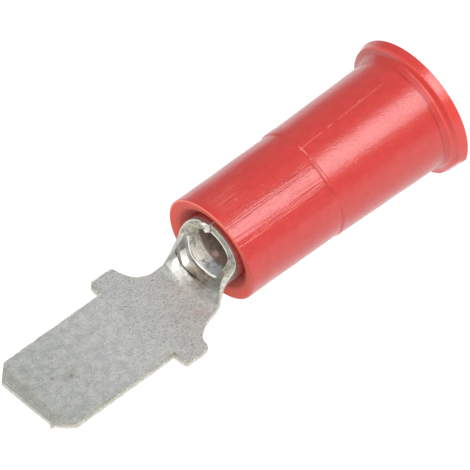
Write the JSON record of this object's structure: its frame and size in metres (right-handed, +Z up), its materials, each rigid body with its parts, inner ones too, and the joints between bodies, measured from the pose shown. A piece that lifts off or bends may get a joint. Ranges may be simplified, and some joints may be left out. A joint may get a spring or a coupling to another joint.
{
  "type": "male spade terminal",
  "caption": "Insulated male tab terminal for a thin wire: flat tab with stop shoulders, curled neck, rolled wire barrel and a glossy red sleeve with a flared wire entry",
  "frame": {"origin": "under the middle of the bounding box, on the surface that the loose part lies on", "axes": "+X from the tab's tip towards the wire entry, +Y across the tab, +Z up; the part lies on the tab's tip and the sleeve's rim, so the barrel's axis rises 4.2 degrees towards +X"},
  "size_m": [0.023, 0.007, 0.0071],
  "materials": {
    "tinned_metal": "tin plated, dull and mottled on the tab, brighter on the curled neck and barrel",
    "red_vinyl": "glossy moulded vinyl with fine drag lines"
  },
  "bodies": {
    "root": {"terminal": "tinned_metal", "insulating_sleeve": "red_vinyl"}
  },
  "joints": []
}
